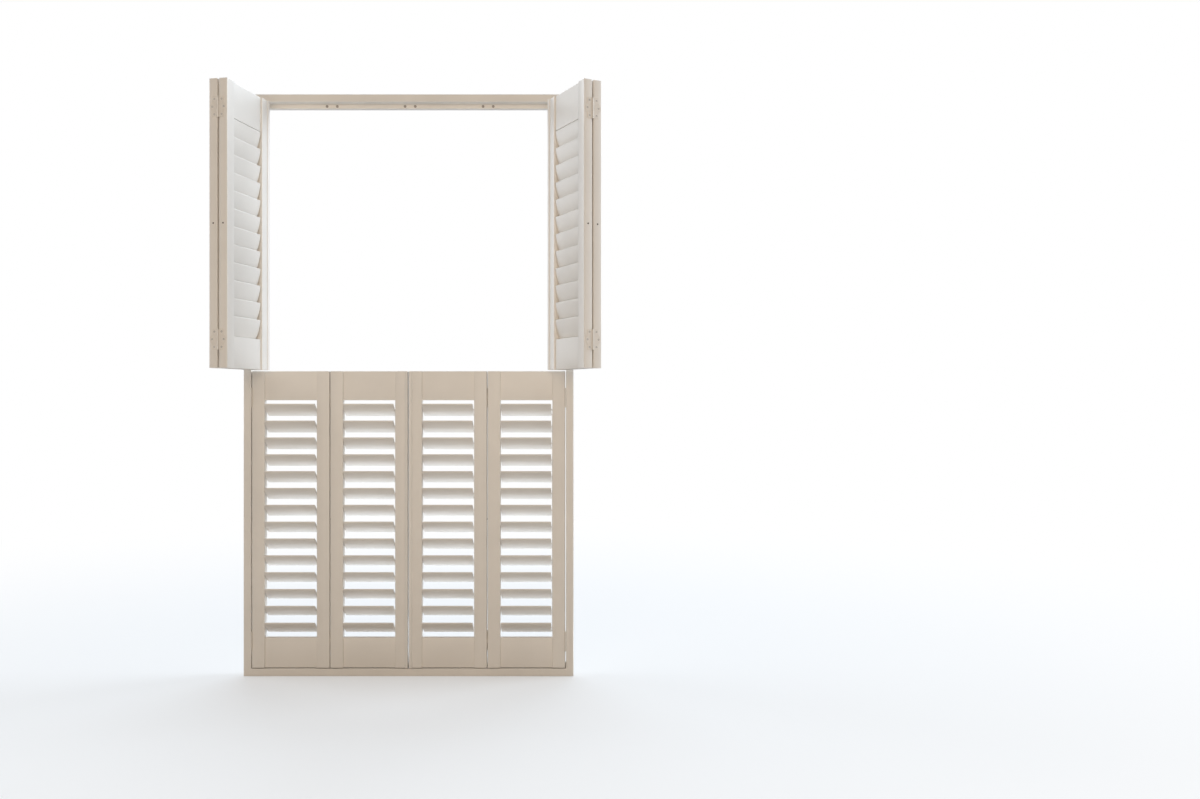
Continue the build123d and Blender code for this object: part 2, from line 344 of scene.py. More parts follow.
class Tree:
    """A Geometry Nodes tree with named inputs, built a node at a time."""

    def __init__(self, name, **inputs):
        self.group = bpy.data.node_groups.new(name, "GeometryNodeTree")
        interface = self.group.interface
        interface.new_socket("Geometry", in_out="INPUT", socket_type="NodeSocketGeometry")
        self.identifiers = {}
        for label, kind in inputs.items():
            socket = interface.new_socket(label, in_out="INPUT", socket_type=SOCKETS[kind])
            self.identifiers[label] = socket.identifier
        interface.new_socket("Geometry", in_out="OUTPUT", socket_type="NodeSocketGeometry")
        self.inputs = self.group.nodes.new("NodeGroupInput").outputs
        self.result = self.group.nodes.new("NodeGroupOutput")

    def feed(self, socket, value):
        """Link a socket, or set it where the value is a plain one."""
        if isinstance(value, bpy.types.NodeSocket):
            self.group.links.new(value, socket)
        else:
            socket.default_value = value

    def add(self, kind, inputs=None, **settings):
        """Add a node and return its first output."""
        node = self.group.nodes.new(kind)
        for key, value in settings.items():
            setattr(node, key, value)
        for key, value in (inputs or {}).items():
            self.feed(node.inputs[key], value)
        return node.outputs[0]

    def math(self, operation, *values, clamp=False):
        """A Math node."""
        node = self.group.nodes.new("ShaderNodeMath")
        node.operation = operation
        node.use_clamp = clamp
        for socket, value in zip(node.inputs, values):
            self.feed(socket, value)
        return node.outputs[0]

    def scaled(self, value, factor):
        """A number times a factor."""
        return self.math("MULTIPLY", value, factor)

    def point(self, x=0.0, y=0.0, z=0.0):
        """A vector from three numbers or sockets."""
        return self.add("ShaderNodeCombineXYZ", {"X": x, "Y": y, "Z": z})

    def split_position(self):
        """The X, Y and Z of each point of the geometry."""
        node = self.group.nodes.new("ShaderNodeSeparateXYZ")
        self.feed(node.inputs[0], self.add("GeometryNodeInputPosition"))
        return node.outputs

    def cylinder(self, facets, radius, height):
        """An upright cylinder about the origin."""
        sizes = {"Vertices": facets, "Radius": radius, "Depth": height}
        return self.add("GeometryNodeMeshCylinder", sizes)

    def block(self, x, y, z):
        """A box about the origin."""
        return self.add("GeometryNodeMeshCube", {"Size": self.point(x, y, z)})

    def moved(self, geometry, translation=(0, 0, 0), rotation=(0, 0, 0)):
        """A geometry turned, then moved."""
        inputs = {"Geometry": geometry, "Translation": translation, "Rotation": rotation}
        return self.add("GeometryNodeTransform", inputs)

    def together(self, *geometries):
        """Several geometries as one."""
        node = self.group.nodes.new("GeometryNodeJoinGeometry")
        for geometry in geometries:
            self.group.links.new(geometry, node.inputs[0])
        return node.outputs[0]

    def points_in_line(self, count, start, step):
        """Points that start at one place and follow each other by a step."""
        inputs = {"Count": count, "Start Location": start, "Offset": step}
        return self.add("GeometryNodeMeshLine", inputs, mode="OFFSET")

    def on_points(self, points, instance):
        """One geometry on every point."""
        return self.add("GeometryNodeInstanceOnPoints", {"Points": points, "Instance": instance})

    def painted(self, geometry, material):
        """A geometry with its material, its instances made real."""
        real = self.add("GeometryNodeRealizeInstances", {"Geometry": geometry})
        return self.add("GeometryNodeSetMaterial", {"Geometry": real, "Material": material})

    def finish(self, geometry):
        """Send the geometry to the tree's output."""
        self.group.links.new(geometry, self.result.inputs[0])

    def grow(self, name, mesh=None, **values):
        """Run the tree once and return a plain mesh."""
        seed = bpy.data.objects.new(name, mesh or bpy.data.meshes.new(name))
        bpy.context.scene.collection.objects.link(seed)
        modifier = seed.modifiers.new(self.group.name, "NODES")
        modifier.node_group = self.group
        for label, value in values.items():
            modifier[self.identifiers[label]] = value
        evaluated = seed.evaluated_get(bpy.context.evaluated_depsgraph_get())
        result = bpy.data.meshes.new_from_object(evaluated)
        bpy.data.objects.remove(seed)
        return result


print("a tree's inputs can be a", ", ".join(SOCKETS))

# %% [markdown]
# ## Louvres
# A louvre is a blade of timber with a lens-shaped section: fullest in the middle, thin
# towards its edges, and rounded at each nose. A loft through hand-placed points would do,
# but the section follows a rule, so the tree bends a circle into it. Along the blade's width
# the half thickness falls as a parabola, and within a nose's length of the edge it also
# follows a quarter circle. The blade is swept along its length, pinned at both ends, tilted
# about its pivot, and repeated at the louvre pitch.

# %% The section and the pins of a louvre
SECTION_POINTS = 48
PIN_FACETS = 12


def lens_section(tree, width, thickness, edge, nose):
    """A circle bent into a lens with two round noses."""
    unit = {"Resolution": SECTION_POINTS, "Radius": 1.0}
    circle = tree.add("GeometryNodeCurvePrimitiveCircle", unit, mode="RADIUS")
    across, side, _ = tree.split_position()
    half = tree.scaled(width, 0.5)
    from_middle = tree.math("MULTIPLY", tree.math("ABSOLUTE", across), half)
    into_nose = tree.math("SUBTRACT", from_middle, tree.math("SUBTRACT", half, nose))
    nose_share = tree.math("DIVIDE", into_nose, nose, clamp=True)
    nose_round = tree.math("SQRT", tree.math("SUBTRACT", 1.0, tree.math("MULTIPLY", nose_share, nose_share)))
    swell = tree.math("SUBTRACT", thickness, edge)
    parabola = tree.math("SUBTRACT", 1.0, tree.math("MULTIPLY", across, across))
    full = tree.math("MULTIPLY_ADD", swell, parabola, edge)
    upright = tree.math("MULTIPLY", tree.scaled(full, 0.5), nose_round)
    signed = tree.math("MULTIPLY", tree.math("SIGN", side), upright)
    bent = tree.point(tree.math("MULTIPLY", across, half), signed)
    return tree.add("GeometryNodeSetPosition", {"Geometry": circle, "Position": bent})


def pin(tree, radius, reach, x, y=0.0):
    """A round pin along X that starts at x."""
    rod = tree.cylinder(PIN_FACETS, radius, reach)
    centre = tree.math("MULTIPLY_ADD", reach, 0.5, x)
    return tree.moved(rod, tree.point(centre, y), (0, pi / 2, 0))


print(f"blades {LOUVRE_THICKNESS * 1000:.1f} mm thick, {SECTION_POINTS} points round the section")

# %% The tree for a row of louvres
def louvre_tree():
    """A row of tilted louvres with their pivot and crank pins."""
    tree = Tree(
        "louvre_row", start="point", count="count", pitch="size", length="size", width="size",
        thickness="size", edge="size", nose="size", tilt="size", left_reach="size", right_reach="size",
        pin_radius="size", crank_radius="size", crank_throw="size", crank_reach="size",
    )
    size = tree.inputs
    section = lens_section(tree, size["width"], size["thickness"], size["edge"], size["nose"])
    path = tree.add("GeometryNodeCurvePrimitiveLine", {"End": tree.point(z=size["length"])}, mode="POINTS")
    sweep = {"Curve": path, "Profile Curve": section, "Fill Caps": True}
    blade = tree.moved(tree.add("GeometryNodeCurveToMesh", sweep), rotation=(pi / 2, 0, pi / 2))
    left = pin(tree, size["pin_radius"], size["left_reach"], tree.scaled(size["left_reach"], -1.0))
    right = pin(tree, size["pin_radius"], size["right_reach"], size["length"])
    crank = pin(tree, size["crank_radius"], size["crank_reach"], size["length"], size["crank_throw"])
    louvre = tree.together(blade, left, right, crank)
    tipped = tree.moved(louvre, rotation=tree.point(tree.scaled(size["tilt"], -1.0)))
    line = tree.points_in_line(size["count"], size["start"], tree.point(z=size["pitch"]))
    tree.finish(tree.painted(tree.on_points(line, tipped), louvre_paint))
    return tree


LOUVRES = louvre_tree()
print("nodes in the louvre tree:", len(LOUVRES.group.nodes))

# %% Grow the louvres and hang them on their bodies
def louvre_row(name, tier, place, first_height, count):
    """A mesh of one or more louvres of a shut panel."""
    low, high = shut_box(tier, place)
    start = low.x + STILE_WIDTH + FREE_END_GAP
    end = high.x - STILE_WIDTH - LINKED_END_GAP
    return LOUVRES.grow(
        name, start=(start, PANEL_MIDDLE, first_height), count=count, pitch=LOUVRE_PITCH,
        length=end - start, width=LOUVRE_WIDTH, thickness=LOUVRE_THICKNESS, edge=LOUVRE_EDGE,
        nose=LOUVRE_NOSE, tilt=radians(TILTS[tier]), left_reach=FREE_END_GAP + PIN_DEPTH,
        right_reach=LINKED_END_GAP + PIN_DEPTH, pin_radius=PIN_RADIUS, crank_radius=CRANK_RADIUS,
        crank_throw=CRANK_THROW, crank_reach=CRANK_REACH,
    )


def field_start(tier, place):
    """The height of the lowest louvre's pivot in a panel whose louvres share a node."""
    low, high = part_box(f"{tier}_{place}_louvres")
    return (low.z + high.z) / 2 - (LOUVRE_COUNTS[tier] - 1) / 2 * LOUVRE_PITCH


louvre_total = 0
for tier, place, panel in PANELS:
    count = LOUVRE_COUNTS[tier]
    if panel in LINKED_PANELS:
        for i in range(count):
            node = f"{panel}_louvre_{i + 1:02d}"
            mesh = louvre_row(f"{node}_blade", tier, place, louvre_axis_height(node), 1)
            blade = as_piece(f"{node}_blade", mesh)
            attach(blade, node)
            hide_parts(node)
    else:
        mesh = louvre_row(f"{panel}_blades", tier, place, field_start(tier, place), count)
        blades = as_piece(f"{panel}_blades", mesh, place=shut_to_rest(tier, place))
        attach(blades, panel)
        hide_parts(f"{panel}_louvres")
    louvre_total += count
print("louvres:", louvre_total)

# %% [markdown]
# ## Stiles, rails and beads
# A panel is four lengths of timber: two stiles that run its full height and two rails
# between them, set back a little from the faces. A joiner breaks every long edge. A drawn
# section would do that, but a box with bevelled edges is quicker and does for every size.
# The inner panels also carry half of the rounded bead that covers the joint in the middle
# of the frame. Its section is part of an ellipse, so its points are worked out.

# %% Timber lengths with broken edges
STILE_ROUND = 0.0018
RAIL_ROUND = 0.001
END_ROUND = 0.0005
TOUCHING = 1e-6


def timber(low, high, rounding, segments=3):
    """A length of timber, with the edges along its length rounded and its ends just eased."""
    shape = bmesh.new()
    bmesh.ops.create_cube(shape, size=1.0)
    span = high - low
    longest = max(range(3), key=lambda axis: span[axis])
    bmesh.ops.scale(shape, vec=span, verts=shape.verts)
    bmesh.ops.translate(shape, vec=(low + high) / 2, verts=shape.verts)

    def runs_along(edge):
        """Whether an edge runs along the timber."""
        start, end = (corner.co for corner in edge.verts)
        return abs(start[longest] - end[longest]) > span[longest] / 2

    def lies_at(edge, end):
        """Whether an edge lies in the end of the timber at this place."""
        return all(abs(corner.co[longest] - end) < TOUCHING for corner in edge.verts)

    lengths = [edge for edge in shape.edges if runs_along(edge)]
    bmesh.ops.bevel(shape, geom=lengths, offset=rounding, segments=segments, profile=0.5, affect="EDGES")
    ends = (low[longest], high[longest])
    rims = [edge for edge in shape.edges if any(lies_at(edge, end) for end in ends)]
    bmesh.ops.bevel(shape, geom=rims, offset=END_ROUND, segments=1, affect="EDGES")
    return settled("timber", shape)


print(f"edges rounded {STILE_ROUND * 1000:.1f} mm on stiles and {RAIL_ROUND * 1000:.1f} mm on rails")

# %% The bead on a meeting stile
BEAD_HEIGHT = 0.004
BEAD_HALF_WIDTH = 0.0125
BEAD_FOOT = 0.0005
BEAD_STEPS = 14
MEETING_GAP = 0.005


def prism(name, outline, bottom, top):
    """A closed upright length over an outline of x, y points."""
    shape = bmesh.new()
    foot = [shape.verts.new((x, y, bottom)) for x, y in outline]
    head = [shape.verts.new((x, y, top)) for x, y in outline]
    shape.faces.new(foot)
    shape.faces.new(head)
    for i in range(len(outline)):
        shape.faces.new((foot[i - 1], foot[i], head[i], head[i - 1]))
    bmesh.ops.recalc_face_normals(shape, faces=shape.faces)
    return settled(name, shape)


def bead(edge, inwards, bottom, top):
    """Half of the rounded strip on a meeting stile: part of an ellipse, cut at the joint."""
    joint = edge - inwards * MEETING_GAP / 2
    back = PANEL_FRONT + BEAD_FOOT
    start = asin(MEETING_GAP / 2 / BEAD_HALF_WIDTH)
    outline = [(edge, back)]
    for i in range(BEAD_STEPS + 1):
        angle = start + (pi / 2 - start) * i / BEAD_STEPS
        out = BEAD_HALF_WIDTH * sin(angle)
        outline.append((joint + inwards * out, PANEL_FRONT - BEAD_HEIGHT * cos(angle)))
    outline.append((joint + inwards * BEAD_HALF_WIDTH, back))
    return prism("bead", outline, bottom, top)


print(f"bead {BEAD_HALF_WIDTH * 2000:.0f} mm wide with a gap of {MEETING_GAP * 1000:.0f} mm")

# %% Build the eight panels
def panel_timber(tier, place):
    """The stiles, rails and bead of one panel, as one mesh."""
    low, high = shut_box(tier, place)
    bottom_rail, top_rail = RAIL_HEIGHTS[tier]
    left_inner, right_inner = low.x + STILE_WIDTH, high.x - STILE_WIDTH
    rail_low = Vector((left_inner, low.y + RAIL_SETBACK, low.z))
    rail_high = Vector((right_inner, high.y - RAIL_SETBACK, high.z))
    stiles = [
        timber(low, Vector((left_inner, high.y, high.z)), STILE_ROUND),
        timber(Vector((right_inner, low.y, low.z)), high, STILE_ROUND),
    ]
    rails = [
        timber(rail_low, Vector((rail_high.x, rail_high.y, low.z + bottom_rail)), RAIL_ROUND),
        timber(Vector((rail_low.x, rail_low.y, high.z - top_rail)), rail_high, RAIL_ROUND),
    ]
    if place == "left_inner":
        stiles.append(bead(high.x, -1, low.z, high.z))
    if place == "right_inner":
        stiles.append(bead(low.x, 1, low.z, high.z))
    for mesh in stiles:
        mesh.materials.append(upright_paint)
    for mesh in rails:
        mesh.materials.append(level_paint)
    return joined(f"{tier}_{place}_timber", [(mesh, Matrix()) for mesh in stiles + rails])


for tier, place, panel in PANELS:
    piece = as_piece(f"{panel}_timber", panel_timber(tier, place), place=shut_to_rest(tier, place))
    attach(piece, panel)
    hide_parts(f"{panel}_panel")
print("panels:", len(PANELS))

# %% [markdown]
# ## The frame
# The frame's four mitred members and the two stop strips already have their true shape in
# the CAD model, down to the small chamfer on the room side and the screw holes, so they keep
# it. They only need paint, with the grain upright on the jambs and level on the rest. The
# two tilt strips that move keep their CAD shape as well, and get bare metal.

# %% Paint the frame and the moving strips
CAD_FINISHES = {
    "left_jamb": upright_paint,
    "right_jamb": upright_paint,
    "head_frame": level_paint,
    "bottom_frame": level_paint,
    "stop_strips": level_paint,
    **{f"{panel}_tilt_strip": strip_metal for panel in LINKED_PANELS},
}

for node, material in CAD_FINISHES.items():
    mesh = frame["nodes"][node].data
    mesh.materials.clear()
    mesh.materials.append(material)
print("painted:", ", ".join(CAD_FINISHES))

# %% [markdown]
# ## Hinges
# A shutter's hinge is two leaves that share a barrel of five knuckles: three on one leaf and
# two on the other, threaded on a pin. Each leaf is a small plate with three screws, and it
# swells in the middle, where its third screw sits further from the barrel. The plate is a
# filleted outline whose far edge is pulled in by a cosine towards both ends, given a
# thickness, and the knuckles and screws are repeated along it. So all of it is one tree with
# two settings, one for each leaf, and a function for each of its three forms.

# %% The plate of a hinge leaf
HINGE_HEIGHT = 0.065
LEAF_DEPTH = 0.024
LEAF_THICKNESS = 0.0012
LEAF_POINTS = 96
CORNER_RADIUS = 0.003
CORNER_STEPS = 4
LOBE_SHARE = 0.3
END_REACH = 0.64


def lobed_plate(tree, height, depth, thickness):
    """A plate that lies flat, with a far edge that swells in the middle."""
    sides = {"Width": depth, "Height": height}
    outline = tree.add("GeometryNodeCurvePrimitiveQuadrilateral", sides)
    rounding = {"Curve": outline, "Radius": CORNER_RADIUS, "Count": CORNER_STEPS}
    eased = tree.add("GeometryNodeFilletCurve", rounding, mode="POLY")
    dense = tree.add("GeometryNodeResampleCurve", {"Curve": eased, "Count": LEAF_POINTS}, mode="COUNT")
    run, rise, _ = tree.split_position()
    lobe = tree.scaled(height, LOBE_SHARE)
    from_middle = tree.math("DIVIDE", tree.math("ABSOLUTE", rise), lobe, clamp=True)
    swell = tree.math("MULTIPLY_ADD", tree.math("COSINE", tree.scaled(from_middle, pi)), 0.5, 0.5)
    narrow = 2 * END_REACH - 1
    pulled = tree.math("MULTIPLY", run, tree.math("MULTIPLY_ADD", swell, 1 - narrow, narrow))
    lobed_point = tree.point(tree.math("MAXIMUM", run, pulled), rise)
    lobed = tree.add("GeometryNodeSetPosition", {"Geometry": dense, "Position": lobed_point})
    sheet = tree.add("GeometryNodeFillCurve", {"Curve": lobed}, mode="NGONS")
    lift = {"Mesh": sheet, "Offset Scale": thickness, "Individual": False}
    raised = tree.add("GeometryNodeExtrudeMesh", lift)
    both = tree.together(raised, tree.add("GeometryNodeFlipFaces", {"Mesh": sheet}))
    return tree.add("GeometryNodeMergeByDistance", {"Geometry": both, "Distance": TOUCHING})


print(f"leaves {HINGE_HEIGHT * 1000:.0f} by {LEAF_DEPTH * 1000:.0f} mm")

# %% The knuckles of a hinge leaf
KNUCKLES = 5
KNUCKLE_HEIGHT = HINGE_HEIGHT / KNUCKLES
KNUCKLE_GAP = 0.0003
KNUCKLE_FACETS = 24
TONGUE_OVERLAP = 0.001


def knuckle_row(tree, wall):
    """Every second knuckle of a barrel on the Z axis, with the tongues that reach the plate."""
    size = tree.inputs
    start = tree.point(z=size["first_knuckle"])
    line = tree.points_in_line(size["knuckles"], start, tree.point(z=tree.scaled(size["knuckle"], 2.0)))
    length = tree.math("SUBTRACT", size["knuckle"], KNUCKLE_GAP)
    tube = tree.cylinder(KNUCKLE_FACETS, size["barrel"], length)
    tongue_width = tree.math("ADD", size["edge"], TONGUE_OVERLAP)
    tongue = tree.block(size["thickness"], tongue_width, length)
    tongue_x = tree.math("SUBTRACT", wall, tree.scaled(size["thickness"], 0.5))
    beside = tree.moved(tongue, tree.point(tongue_x, tree.scaled(tongue_width, 0.5)))
    return tree.on_points(line, tree.together(tube, beside))


print(f"knuckles {KNUCKLE_HEIGHT * 1000:.1f} mm high")

# %% The screws of a hinge leaf
SCREW_RADIUS = 0.0031
SCREW_PROUD = 0.00015
SCREW_COUNT = 3
SCREW_FACETS = 20
SCREW_SPREAD = 0.36
NEAR_SCREW = 0.38
SCREW_STAGGER = 0.3
RECESS_LENGTH = 1.1
RECESS_WIDTH = 0.26
RECESS_DEPTH = 0.001


def screw_head(tree, radius, proud):
    """A flat head with a crossed recess cut through it."""
    long_side = tree.scaled(radius, RECESS_LENGTH)
    short_side = tree.scaled(radius, RECESS_WIDTH)
    recess = tree.group.nodes.new("GeometryNodeMeshBoolean")
    recess.operation = "DIFFERENCE"
    tree.feed(recess.inputs["Mesh 1"], tree.cylinder(SCREW_FACETS, radius, proud))
    tree.feed(recess.inputs["Mesh 2"], tree.block(long_side, short_side, RECESS_DEPTH))
    tree.feed(recess.inputs["Mesh 2"], tree.block(short_side, long_side, RECESS_DEPTH))
    return recess.outputs["Mesh"]


def screw_row(tree, wall):
    """Three screws up the plate, of which the middle one is further from the barrel."""
    size = tree.inputs
    screw = tree.moved(screw_head(tree, size["screw"], size["proud"]), rotation=(0, -pi / 2, 0))
    spread = tree.scaled(size["height"], SCREW_SPREAD)
    lowest = tree.point(z=tree.scaled(spread, -1.0))
    line = tree.points_in_line(SCREW_COUNT, lowest, tree.point(z=spread))
    is_middle = tree.math("MODULO", tree.add("GeometryNodeInputIndex"), 2.0)
    near = tree.math("MULTIPLY_ADD", size["depth"], NEAR_SCREW, size["edge"])
    screw_y = tree.math("MULTIPLY_ADD", is_middle, tree.scaled(size["depth"], SCREW_STAGGER), near)
    face = tree.math("SUBTRACT", wall, size["thickness"])
    screw_x = tree.math("SUBTRACT", face, tree.scaled(size["proud"], 0.5))
    shift = {"Geometry": line, "Offset": tree.point(screw_x, screw_y)}
    return tree.on_points(tree.add("GeometryNodeSetPosition", shift), screw)


print(f"screw heads {SCREW_RADIUS * 2000:.1f} mm across")

# %% The tree for a hinge leaf
HINGE_GAP = 0.003
BARREL_RADIUS = 0.0025
BARREL_OFFSET = 0.00275


def leaf_tree():
    """A leaf on the +X side of its barrel, which stands on the Z axis, running towards +Y."""
    tree = Tree(
        "hinge_leaf", height="size", depth="size", thickness="size", gap="size", edge="size",
        barrel="size", knuckles="count", first_knuckle="size", knuckle="size", screw="size", proud="size",
    )
    size = tree.inputs
    wall = tree.scaled(size["gap"], 0.5)
    plate = lobed_plate(tree, size["height"], size["depth"], size["thickness"])
    plate_y = tree.math("MULTIPLY_ADD", size["depth"], 0.5, size["edge"])
    leaf = tree.moved(plate, tree.point(wall, plate_y), (pi / 2, 0, -pi / 2))
    metal = tree.painted(tree.together(leaf, knuckle_row(tree, wall)), hinge_enamel)
    tree.finish(tree.together(metal, tree.painted(screw_row(tree, wall), screw_zinc)))
    return tree


LEAVES = leaf_tree()
print("nodes in the leaf tree:", len(LEAVES.group.nodes))

# %% Grow the two kinds of leaf
def leaf_mesh(name, first, count):
    """A leaf whose knuckles start at the one numbered first, counted from the bottom."""
    start = -HINGE_HEIGHT / 2 + (first + 0.5) * KNUCKLE_HEIGHT
    return LEAVES.grow(
        name, height=HINGE_HEIGHT, depth=LEAF_DEPTH, thickness=LEAF_THICKNESS, gap=HINGE_GAP,
        edge=BARREL_OFFSET, barrel=BARREL_RADIUS, knuckles=count, first_knuckle=start,
        knuckle=KNUCKLE_HEIGHT, screw=SCREW_RADIUS, proud=SCREW_PROUD,
    )


three_knuckle_leaf = leaf_mesh("three_knuckle_leaf", 0, 3)
two_knuckle_leaf = leaf_mesh("two_knuckle_leaf", 1, 2)
print("faces on a leaf:", len(three_knuckle_leaf.polygons), "and", len(two_knuckle_leaf.polygons))

# %% [markdown]
# The tree makes a leaf that stands on one side of its barrel. Its mirror images would be
# turned inside out, so the other sides come from half turns instead: about the barrel, about
# the leaf's own run, or about the line across it. A leaf looks the same upside down.

# %% Where the leaves go
HALF_TURNS = {
    (1, 1): Matrix(),
    (-1, 1): Matrix.Rotation(pi, 4, "Y"),
    (1, -1): Matrix.Rotation(pi, 4, "X"),
    (-1, -1): Matrix.Rotation(pi, 4, "Z"),
}
HINGE_INSET = 0.055
swing_line = joints["lower_left_swing"]["pos_m"][1]
fold_line = joints["lower_left_fold"]["pos_m"][1]
jamb_pivot = joints["lower_right_swing"]["pos_m"][0]
fold_pivot = joints["lower_right_fold"]["pos_m"][0]


def leaf_place(axis_x, axis_y, wall_side, inwards, height):
    """Where a leaf goes: its barrel's line, the side its wall is on, and the way it runs."""
    return Matrix.Translation((axis_x, axis_y, height)) @ HALF_TURNS[wall_side, inwards]


def hinge_heights(tier):
    """The middles of the two hinges of a tier."""
    low, high = shut_box(tier, "left_outer")
    inset = HINGE_INSET + HINGE_HEIGHT / 2
    return low.z + inset, high.z - inset


for tier in LOUVRE_COUNTS:
    print(tier, "hinges at", *(f"{height:.3f} m" for height in hinge_heights(tier)))

# %% [markdown]
# Between two folded panels sits a small rubber buffer, pressed into the edge. It is a low
# dome, so a quarter of an ellipse is spun about its axis.

# %% The rubber buffer
BUFFER_RADIUS = 0.0025
BUFFER_THICKNESS = 0.001
BUFFER_STEPS = 5
BUFFER_FACETS = 20


def buffer_mesh():
    """A low rubber dome on the XY plane."""
    shape = bmesh.new()
    quarter = [pi / 2 * i / BUFFER_STEPS for i in range(BUFFER_STEPS + 1)]
    line = [shape.verts.new((BUFFER_RADIUS * sin(a), 0, BUFFER_THICKNESS * cos(a))) for a in quarter]
    line.append(shape.verts.new((0, 0, 0)))
    profile = line + [shape.edges.new(pair) for pair in zip(line, line[1:])]
    whole_turn = {"axis": (0, 0, 1), "cent": (0, 0, 0), "angle": 2 * pi, "steps": BUFFER_FACETS}
    bmesh.ops.spin(shape, geom=profile, use_duplicate=False, **whole_turn)
    bmesh.ops.remove_doubles(shape, verts=shape.verts, dist=TOUCHING)
    bmesh.ops.recalc_face_normals(shape, faces=shape.faces)
    mesh = settled("buffer", shape)
    mesh.materials.append(buffer_rubber)
    return mesh


rubber_dome = buffer_mesh()
print("faces on a buffer:", len(rubber_dome.polygons))

# %% Place the leaves and buffers
def panel_hardware(tier, place):
    """The leaves and the buffer of one shut panel, as one mesh."""
    low, high = shut_box(tier, place)
    side, which = place.split("_")
    outwards = -1 if side == "left" else 1
    outer = which == "outer"
    leaf = three_knuckle_leaf if outer else two_knuckle_leaf
    fold_x = outwards * fold_pivot
    fold_wall = outwards if outer else -outwards
    parts = []
    for height in hinge_heights(tier):
        if outer:
            jamb_x = outwards * jamb_pivot
            parts.append((two_knuckle_leaf, leaf_place(jamb_x, swing_line, -outwards, 1, height)))
        parts.append((leaf, leaf_place(fold_x, fold_line, fold_wall, -1, height)))
    wall = fold_x + fold_wall * HINGE_GAP / 2
    facing = Matrix.Rotation(-fold_wall * pi / 2, 4, "Y")
    spot = Matrix.Translation((wall, PANEL_MIDDLE, (low.z + high.z) / 2)) @ facing
    parts.append((rubber_dome, spot))
    return joined(f"{tier}_{place}_hardware", parts)


for tier, place, panel in PANELS:
    piece = as_piece(f"{panel}_hardware", panel_hardware(tier, place), place=shut_to_rest(tier, place))
    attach(piece, panel)
    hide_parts(f"{panel}_hinge_leaves")
jamb_leaves = [
    (three_knuckle_leaf, leaf_place(side * jamb_pivot, swing_line, side, 1, height))
    for side in (-1, 1)
    for tier in LOUVRE_COUNTS
    for height in hinge_heights(tier)
]
jamb_hardware = as_piece("jamb_hardware", joined("jamb_hardware", jamb_leaves))
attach(jamb_hardware, "root")
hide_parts("frame_hinge_leaves")
print("hinges:", len(jamb_leaves) * 2)

# %% [markdown]
# ## Tilt strips
# A thin metal strip joins the louvres of a panel, hidden behind the stile. In two of the
# lower panels it moves, and comes from the CAD model. In the others it stands still, so a
# slim bar through the blades' cranks is enough, made as a length of timber is.

# %% Strips of the panels whose louvres share a node
STRIP_THICKNESS = 0.0015
STRIP_WIDTH = 0.004
STRIP_MARGIN = 0.0025
STRIP_ROUND = 0.0002


def strip_mesh(tier, place):
    """The bar through the crank pins of one shut panel."""
    crank = Matrix.Rotation(-radians(TILTS[tier]), 4, "X") @ Vector((0, CRANK_THROW, 0))
    high = shut_box(tier, place)[1]
    left = high.x - STILE_WIDTH - LINKED_END_GAP + (LINKED_END_GAP - STRIP_THICKNESS) / 2
    front = PANEL_MIDDLE + crank.y - STRIP_WIDTH / 2
    first = field_start(tier, place) + crank.z
    last = first + (LOUVRE_COUNTS[tier] - 1) * LOUVRE_PITCH
    bottom_corner = Vector((left, front, first - STRIP_MARGIN))
    top_corner = Vector((left + STRIP_THICKNESS, front + STRIP_WIDTH, last + STRIP_MARGIN))
    return timber(bottom_corner, top_corner, STRIP_ROUND, segments=1)


fixed_panels = [panel for panel in PANELS if panel[2] not in LINKED_PANELS]
for tier, place, panel in fixed_panels:
    strip = strip_mesh(tier, place)
    piece = as_piece(f"{panel}_strip", strip, strip_metal, place=shut_to_rest(tier, place))
    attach(piece, panel)
print("tilt strips:", len(fixed_panels))

# %% [markdown]
# ## Magnets
# Small disc magnets in the stop strips hold the shut panels. They sit in pairs, one each
# side of every joint between panels, on the upper and the lower strip. Each could be placed
# by hand, but their places follow from the joints, so the tree takes them as the points of
# a mesh and sets one disc with a stepped rim on each.

# %% The tree for the magnets
DISC_FACETS = 24
RIM_HEIGHT = 0.8
RIM_SETBACK = 0.1
CROWN_RADIUS = 0.82


def disc_tree():
    """A disc on every point, facing the room, with a smaller raised centre."""
    tree = Tree("magnet_discs", radius="size", thickness="size")
    radius, thickness = tree.inputs["radius"], tree.inputs["thickness"]
    rim = tree.cylinder(DISC_FACETS, radius, tree.scaled(thickness, RIM_HEIGHT))
    crown = tree.cylinder(DISC_FACETS, tree.scaled(radius, CROWN_RADIUS), thickness)
    set_back = tree.moved(rim, tree.point(z=tree.scaled(thickness, -RIM_SETBACK)))
    facing = tree.moved(tree.together(set_back, crown), rotation=(pi / 2, 0, 0))
    tree.finish(tree.painted(tree.on_points(tree.inputs["Geometry"], facing), magnet_nickel))
    return tree


DISCS = disc_tree()
print("nodes in the magnet tree:", len(DISCS.group.nodes))

# %% Set the magnets
MAGNET_RADIUS = 0.0045
MAGNET_THICKNESS = 0.0015
MAGNET_FROM_EDGE = 0.017
DISC_SHARE = 0.98

magnet_low, magnet_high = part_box("magnets")
magnet_y = (magnet_low.y + magnet_high.y) / 2
magnet_places = [
    (joint_x + side * MAGNET_FROM_EDGE, magnet_y, height)
    for joint_x in (-fold_pivot, 0.0, fold_pivot)
    for side in (-1, 1)
    for height in (magnet_low.z + MAGNET_RADIUS, magnet_high.z - MAGNET_RADIUS)
]
magnet_points = bpy.data.meshes.new("magnet_points")
magnet_points.from_pydata(magnet_places, [], [])
magnet_sizes = {"radius": MAGNET_RADIUS * DISC_SHARE, "thickness": MAGNET_THICKNESS}
magnet_discs = as_piece("magnet_discs", DISCS.grow("magnet_discs", mesh=magnet_points, **magnet_sizes))
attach(magnet_discs, "root")
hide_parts("magnets")
print("magnets:", len(magnet_places))

